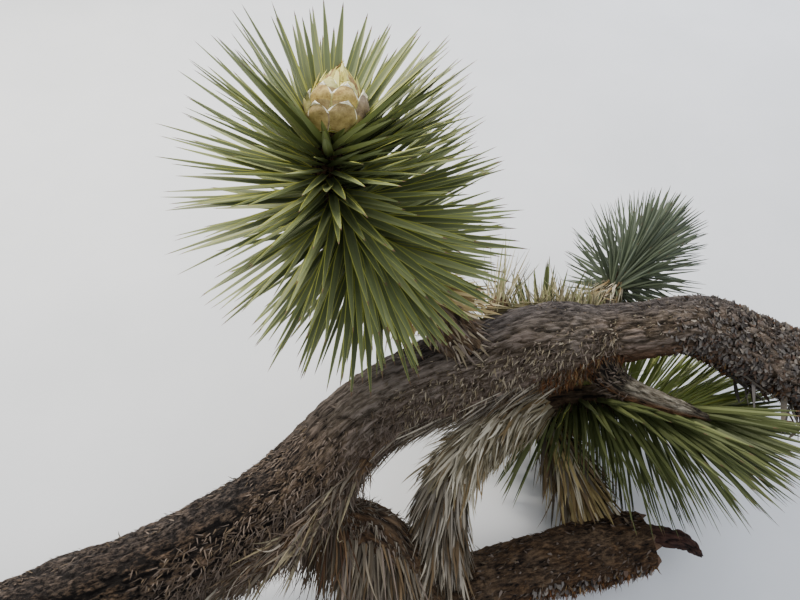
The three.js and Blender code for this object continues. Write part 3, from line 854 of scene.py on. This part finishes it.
def branchlet_look(distance, turn, flow):
    height = wrinkles(flow * (0.8, 1, 1), 61)
    warm = 0.85 * ease(0.25, 0.9, np.sin(turn))
    bare = ease(0.08, 0.13, distance) * (1 - ease(0.22, 0.26, distance))
    return height - 0.35 * (1 - bare), warm, 0.6 * bare * (1 - warm)


def make_bark(name, finishes, replaced, key, knots=(0, -1), slot="bark", **shape):
    """A piece of bark between two knots of a limb, in place of solids."""
    heap = Heap()
    add_limb(heap, key, *(ROUTES[key].mark(knot) for knot in knots), **shape)
    heap.piece(name, slot, finishes, *replaced, smooth=True)


def make_limbs():
    make_bark("limb_bark", [BARK, CUT_WOOD], ("main_limb", "far_limb"), "main", side=0.0034, relief=0.013,
              look=main_look, grain=main_grain)
    make_bark("lower_bark", [OLD_BARK, BROKEN_WOOD], ("lower_limb",), "fork", ring=0.0038, side=0.0038,
              relief=0.013, look=lower_look, jagged=(0, 0.03), grain=lambda distance: 2 * distance)
    make_bark("stub_bark", [MAROON, MAROON], ("broken_stub",), "stub", ring=0.003, side=0.003, seed=71,
              jagged=(0, 0.012))
    make_bark("branchlet_wood", [WEATHERED, OLD_BARK], ("dead_branchlet",), "branchlet", ring=0.003,
              side=0.003, relief=0.006, look=branchlet_look, jagged=(0, 0.02), slot="weathered_wood")
    make_bark("far_bough_bark", [BARK, BARK], ("far_bough",), "far", (0, 2), side=0.004, relief=0.006,
              seed=81)
    heap = Heap()
    inner = {"bloom": (2, 91), "riser": (6, 93), "rear": (3, 95), "tuft": (1, 97), "beard": (3, 99)}
    for key, (end, seed) in inner.items():
        add_limb(heap, key, 0, ROUTES[key].mark(end), ring=0.006, side=0.006, relief=0.006, seed=seed)
    heap.piece("inner_boughs", "bark", [OLD_BARK, OLD_BARK], smooth=True)


class Litter(Heap):
    """Leaf bases, fibres or knobs that hug bark, gathered for one piece, and how they bend."""

    def __init__(self, draw, finishes, **bends):
        super().__init__()
        self.draw, self.finishes, self.bends = draw, finishes, bends

    def strew(self, key, knots, turns, count, aim, length, width, *, stray=0.3, gather=(1, 1), tones=None,
              **bends):
        """Adds those between two knots of a limb and two turns round it, in degrees and millimetres.

        aim says how much they point back along the limb, out of it and down. gather below 1 crowds them
        towards the second knot and towards the second turn.
        """
        back, out, down = aim
        draw = self.draw
        line = ROUTES[key]
        distance = lerp(*(line.mark(knot) for knot in knots), draw.random(count) ** gather[0])
        turn = np.radians(lerp(*turns, draw.random(count) ** gather[1]))
        spots = line.at(distance)
        outwards = spots.outward(turn)
        reach = spots.radius * (1 + swelling(distance, turn)) - LITTER_SUNK
        roots = spots.point + outwards * reach[:, None]
        fall = DOWN - dot(DOWN, outwards) * outwards
        lines = -back * spots.along + out * outwards + down * fall
        lines = unit(lines + stray * draw.normal(size=(count, 3)))
        lengths, widths = (draw.uniform(*np.array(size) / METRE, count) for size in (length, width))
        fine = lay(roots + lines * lengths[:, None])[:, 2] > DEAD_GROUND_GAP
        taken = pick(fine, roots, lines, outwards, lengths, widths)
        add_ribbons(self, *taken, draw, tones or len(self.finishes), **(self.bends | bends))

    def settle(self, name):
        self.piece(name, "dead_leaves", self.finishes)


def make_scales():
    """Short leaf bases and curled fibres over the bark, and corky knobs on its right part."""
    draw = np.random.default_rng(101)
    short = {"steps": 2, "droop": 0.0, "curl": 0.9, "twist": 0.7}
    flecks = (6, 16), (2, 4.5)
    tufts = (10, 28), (2.2, 4.8)
    knobs = (6, 16), (6, 13)
    heap = Litter(draw, SHADE_DARKENED_SCALES, **short)
    heap.strew("main", (1.5, 5.4), (-30, 104), 8800, (0.6, 0.3, 0.4), (8, 26), (1.8, 3.8), stray=0.5,
               gather=(0.8, 0.5))
    heap.strew("main", (0, 2.2), (10, 110), 1400, (0.6, 0.2, 0.3), (6, 16), (1.8, 3.8), stray=0.4,
               gather=(1, 0.4))
    heap.strew("main", (2.6, 4.8), (-85, 15), 900, (0.8, 0.14, 0.25), *flecks)
    heap.settle("leaf_bases_left")
    heap = Litter(draw, SCALES, **short)
    heap.strew("main", (4.8, 9.2), (-25, 105), 7600, (0.6, 0.28, 0.6), *tufts, stray=0.42, gather=(1, 0.62))
    heap.strew("main", (4.6, 10.4), (-85, 15), 3900, (0.8, 0.14, 0.25), *flecks)
    heap.settle("leaf_bases_middle")
    heap = Litter(draw, SHADE_DARKENED_SCALES, **short)
    heap.strew("main", (0, 14), (110, 300), 3200, (0.9, 0.2, 0.1), *flecks)
    heap.strew("fork", (3.2, 9), (0, 360), 1900, (0.8, 0.2, 0.2), (8, 22), (3, 8))
    heap.strew("fork", (0, 3.4), (150, 380), 1300, (0.1, 0.2, 0.9), *tufts, stray=0.25)
    heap.strew("branchlet", (0, 1.6), (0, 360), 500, (0.8, 0.3, 0.3), *tufts, stray=0.42)
    heap.settle("leaf_bases_behind")
    heap = Litter(draw, KNOBS, steps=3, droop=0.0, curl=0.25, twist=0.4, shape=BLUNT_WIDTHS)
    heap.strew("main", (11.2, 14), (0, 360), 4200, (0.5, 0.5, 0.35), *knobs)
    heap.strew("main", (9.8, 11.2), (-100, 140), 900, (0.6, 0.4, 0.3), *knobs, gather=(0.4, 1))
    heap.strew("fork", (6, 9), (20, 160), 400, (0.4, 0.7, 0.3), (8, 20), (6, 12))
    heap.settle("corky_knobs")


def make_strands():
    """Long dry leaves that trail from the limb's underside, and the rusty fuzz of its sheltered side."""
    draw = np.random.default_rng(131)
    heap = Litter(draw, DEAD, steps=6, droop=0.05, curl=0.3, twist=0.8)
    heap.strew("main", (3.8, 8.8), (50, 104), 480, (1.0, 0.17, 0.16), (60, 150), (2.8, 6), stray=0.12)
    heap.strew("main", (2, 4.4), (40, 100), 200, (0.9, 0.12, 0.3), (70, 150), (4, 9), stray=0.14)
    heap.strew("main", (4, 8), (85, 115), 120, (0.5, 0.8, 0.0), (12, 30), (3, 6), stray=0.2, steps=4,
               droop=0.4, curl=0.5, twist=0.4)
    heap.strew("fork", (0.2, 3.2), (170, 390), 900, (0.1, 0.16, 0.9), (12, 35), (2, 4), stray=0.25, tones=3,
               steps=3, droop=0.2, curl=0.7, twist=0.6)
    heap.settle("dry_strands")
    heap = Litter(draw, KNOBS, steps=10)
    heap.strew("main", (12, 13.6), (70, 110), 16, (-0.2, 0.7, 0.3), (50, 90), (12, 18), stray=0.2, droop=0.6,
               curl=1.8, twist=0.6)
    heap.strew("main", (11.4, 12.6), (60, 85), 5, (-1, 0.16, 0.1), (120, 160), (8, 12), stray=0.06,
               droop=0.0, curl=0.2, twist=0.4)
    heap.settle("corky_curls")
    draw = np.random.default_rng(137)
    heap = Litter(draw, TOP_STRAW, steps=6, droop=0.0, curl=0.1, twist=0.3)
    heap.strew("main", (6.7, 8.7), (-118, -96), 50, (0.1, 0.9, 0), (40, 110), (3, 5))
    heap.strew("main", (6, 8.2), (-100, -84), 90, (0.9, 0.12, 0), (50, 120), (5, 9), stray=0.09)
    heap.strew("main", (7.7, 9.1), (-125, -98), 210, (-0.4, 0.8, 0), (35, 70), (3, 6))
    heap.settle("straw_spikes")
    heap = Litter(draw, RUST, steps=3, droop=0.15, curl=1.2, twist=0.5)
    heap.strew("main", (7.4, 9.3), (35, 130), 3000, (0.5, 0.6, 0.3), (14, 36), (2, 4.2), gather=(1, 0.7))
    heap.strew("main", (10.8, 14), (60, 140), 800, (0.3, 0.5, 0.3), (8, 22), (2, 4))
    heap.strew("fork", (3.4, 9), (30, 150), 2100, (0.4, 0.35, 0.3), (10, 30), (2, 4.5), stray=0.5)
    heap.settle("rust_fibres")


# The bud's outline: radius and height as shares of its half width and its height.
BUD_EGG = np.array(((0, 0), (0.38, 0), (0.8, 0.18), (1, 0.43), (0.86, 0.68), (0.46, 0.88), (0, 1)))


def bud_frame():
    """The bud's foot and three axes: sideways, upright and towards the viewer."""
    line = ROUTES["bloom"]
    tip = line.at(line.mark(-1))
    foot = tip.point - BUD_AXIS * BUD_SUNK
    side = unit(np.cross(BUD_AXIS, FRONT))
    return foot, side, BUD_AXIS, np.cross(side, BUD_AXIS)


def on_bud(turn, height, lift):
    """A point of the bud's surface, by turn, height from 0 to 1 and metres above it."""
    foot, side, up, front = bud_frame()
    egg = np.interp(height, BUD_EGG[:, 1], BUD_EGG[:, 0]) * BUD_WIDE / 2 + lift
    turn, height, egg = (np.asarray(v)[..., None] for v in (turn, height, egg))
    around = side * np.sin(turn) + front * np.cos(turn)
    return foot + up * height * BUD_TALL + around * egg


# A bract's rows and columns of corners, how thick it is, and how many of its rows make its foot, painted
# in the foot tone as shade where it tucks under the bracts below, and its unrimmed part.
BRACT_GRID = 13
BRACT_THICK = 0.0015
SHADED_FOOT_ROWS = 4
PLAIN_ROWS = 7


def add_bract(heap, turn, low, high, wide, lift, lean, tone, edge, rim, foot=2):
    """One bract: a broad cupped scale, blunt if it ends low on the bud, whose pale rim leans out."""
    across = np.linspace(-1, 1, BRACT_GRID)[None, :]
    rise = np.linspace(0, 1, BRACT_GRID)[:, None]
    blunt = 2.6 if high < 0.7 else 1.5
    shape = np.sqrt(np.clip(1 - rise**blunt, 0.0, 1)) * (0.7 + 0.3 * np.sin(math.pi * rise))
    angle = turn + wide * across * shape
    height = lerp(low, high, rise - 0.12 * np.abs(across) ** 2 * rise)
    bulge = 0.006 * (1 - across**2) * np.sin(math.pi * rise) + lean * rise**5 + 0.002 * across**6 * rise
    outer = on_bud(angle, height, lift + bulge)
    inner = on_bud(angle, height, lift + bulge - BRACT_THICK)
    grid = np.arange(BRACT_GRID**2).reshape(BRACT_GRID, BRACT_GRID)
    quads = np.stack([grid[:-1, :-1], grid[:-1, 1:], grid[1:, 1:], grid[1:, :-1]], -1)
    paint = np.full(quads.shape[:2], tone)
    # The foot rows take the foot tone, tan unless given, as painted shade where the bract tucks under the
    # ones below.
    paint[:SHADED_FOOT_ROWS] = foot
    paint[:, [0, -1]] = edge
    paint[PLAIN_ROWS:, [0, -1]] = rim
    paint[-2, 3:-3] = rim
    paint[-1] = rim
    back = quads[..., ::-1] + grid.size
    outline = np.concatenate([grid[0], grid[1:, -1], grid[-1, -2::-1], grid[-2:0:-1, 0]])
    after = np.roll(outline, -1)
    walls = np.stack([outline, outline + grid.size, after + grid.size, after], -1)
    heap.add(np.stack([outer, inner]), quads.reshape(-1, 4), paint.ravel())
    heap.more(back.reshape(-1, 4), rim)
    heap.more(walls, rim)


# Bracts of the bud: turn in degrees (0 to the viewer), foot, tip, half width, lift, lean, tone and edge,
# and how many more stand behind.
FRONT_BRACTS = [
    (-96, 0.08, 0.62, 0.50, 0.000, 0.003, 3, 1),
    (90, 0.10, 0.74, 0.46, 0.001, 0.004, 3, 4),
    (-20, 0.42, 0.80, 0.52, -0.002, -0.004, 4, 4),
    (30, 0.42, 0.76, 0.50, -0.002, -0.004, 4, 1),
    (-66, 0.06, 0.60, 0.42, 0.001, 0.002, 1, 3),
    (64, 0.06, 0.68, 0.44, 0.002, 0.003, 3, 4),
    (-25, 0.20, 0.63, 0.46, 0.003, 0.003, 0, 1),
    (21, 0.20, 0.64, 0.50, 0.004, 0.003, 0, 1),
    (24, 0.01, 0.37, 0.66, 0.006, 0.005, 2, 1),
    (-30, 0.00, 0.32, 0.52, 0.007, 0.006, 2, 3),
]
BACK_BRACTS = 9


def make_bud():
    """The bloom bud: broad cupped bracts below and pointed yellow ones closing over its top."""
    draw = np.random.default_rng(151)
    heap = Heap()
    rings, sides = 16, 28
    height = np.linspace(0.02, 0.97, rings)[:, None]
    turn = 2 * math.pi * np.arange(sides)[None, :] / sides
    heap.add(on_bud(turn + 0 * height, height + 0 * turn, -0.005), round_faces(rings, sides), 1)
    rim = len(BRACTS)
    for i, share in enumerate(np.linspace(0, 1, BACK_BRACTS)):
        turn = math.pi + (i % 3 - 1) * 0.9 + 0.3 * share
        add_bract(heap, turn, lerp(0.35, 0.02, share), lerp(0.86, 0.4, share), 0.55, lerp(0.0, 0.005, share),
                  0.002, int(draw.integers(0, rim)), 1, rim)
    for degrees, *numbers in FRONT_BRACTS:
        add_bract(heap, math.radians(degrees), *numbers, rim)
    heap.piece("bud_bracts", "bloom", [*BRACTS, BRACT_RIM], "bloom_bud", smooth=True)
    count = 170
    share = (np.arange(count) + 0.5) / count
    place = lerp(0.62, 0.95, share**0.8)
    turn = np.arange(count) * GOLDEN_ANGLE
    roots = on_bud(turn, place - 0.12, -0.003)
    tips = on_bud(turn, np.minimum(place + 0.14, 1.10), 0.006 * draw.random(count))
    lines = tips - roots
    lengths = np.linalg.norm(lines, axis=1) * (0.9 + 0.5 * draw.random(count))
    outwards = unit(on_bud(turn, place, 0.01) - on_bud(turn, place, 0.0))
    heap = Heap()
    widths = 0.0075 * (0.7 + 0.6 * draw.random(count))
    add_ribbons(heap, roots, unit(lines), outwards, lengths, widths, draw, len(FLORETS), droop=0.0, curl=0.1,
                twist=0.15, steps=6)
    heap.piece("bud_florets", "bloom", FLORETS)


def make_bud_leaves():
    """Short leaves that rise from the shoot and stand close round the bud's foot."""
    draw = np.random.default_rng(161)
    line = ROUTES["bloom"]
    count = 22
    spots = line.at(line.mark(-1) - draw.uniform(0.012, 0.045, count))
    turn = np.arange(count) * GOLDEN_ANGLE
    tips = on_bud(turn, draw.uniform(0.10, 0.30, count), draw.uniform(0.004, 0.010, count))
    lines = tips - spots.point
    lengths = np.linalg.norm(lines, axis=1)
    heap = Heap()
    add_blades(heap, spots.point, unit(lines), spots.along, lengths, 0.013, draw, len(BLOOM_GREENS))
    heap.piece("bud_leaves", "leaves", [*BLOOM_GREENS, MARGIN, SPINE], "head_bloom")


def make_floor():
    """A plain pale floor for the limb to lie on."""
    finish = Finish("floor", 0.9)
    speckle = finish.noise(finish.place(), (3.0, 3.0, 3.0))
    material = finish.paint(finish.ramp(speckle, (0.3, "dcdee0"), (0.7, "e4e5e7")))
    mesh = bpy.data.meshes.new("floor")
    corners = [(x * FLOOR_HALF, y * FLOOR_HALF, 0) for x, y in ((-1, -1), (1, -1), (1, 1), (-1, 1))]
    mesh.from_pydata(corners, [], [(0, 1, 2, 3)])
    mesh.materials.append(material)
    floor = put("floor", mesh)


def add_light(name, growing_direction, away, size, energy, code):
    """A soft lamp that faces the limb from a direction of the growing frame."""
    lamp = bpy.data.lights.new(name, "AREA")
    lamp.shape = "DISK"
    lamp.size = size
    lamp.energy = energy
    lamp.color = colour(code)[:3]
    aim = unit(np.array(LYING) @ np.array(growing_direction, float))
    made = put(name, lamp)
    made.location = LIT_PLACE + aim * away
    made.rotation_mode = "QUATERNION"
    made.rotation_quaternion = Vector(-aim).to_track_quat("-Z", "Y")


def make_light():
    add_light("key", (-0.5, 0.84, 0.26), 3.2, 1.2, 155, "fff9ee")
    add_light("side", (0.5, 0.85, -0.2), 3.4, 2.2, 75, "f2f5ff")
    add_light("fill", (0.4, 0.3, 0.87), 3.6, 3.0, 48, "f4f6ff")
    world = bpy.data.worlds.new("studio")
    bpy.context.scene.world = world
    world.use_nodes = True
    sky = world.node_tree.nodes["Background"].inputs
    sky["Color"].default_value = colour("e3eaf3")
    sky["Strength"].default_value = 0.7


def make_camera():
    """The photograph's view of the limb, kept as the limb was laid down."""
    data = bpy.data.cameras.new("camera")
    data.sensor_width = SENSOR
    data.lens = SENSOR * FOCAL_PIXELS / PHOTO_WIDTH
    camera = put("camera", data)
    camera.matrix_world = Matrix.Translation(lay(FRONT * CAMERA_AWAY)) @ LYING.to_4x4()
    bpy.context.scene.camera = camera


make_camera()
make_light()
make_floor()
make_limbs()
make_scales()
make_strands()
make_skirts()
make_bud()
make_bud_leaves()
make_heads()
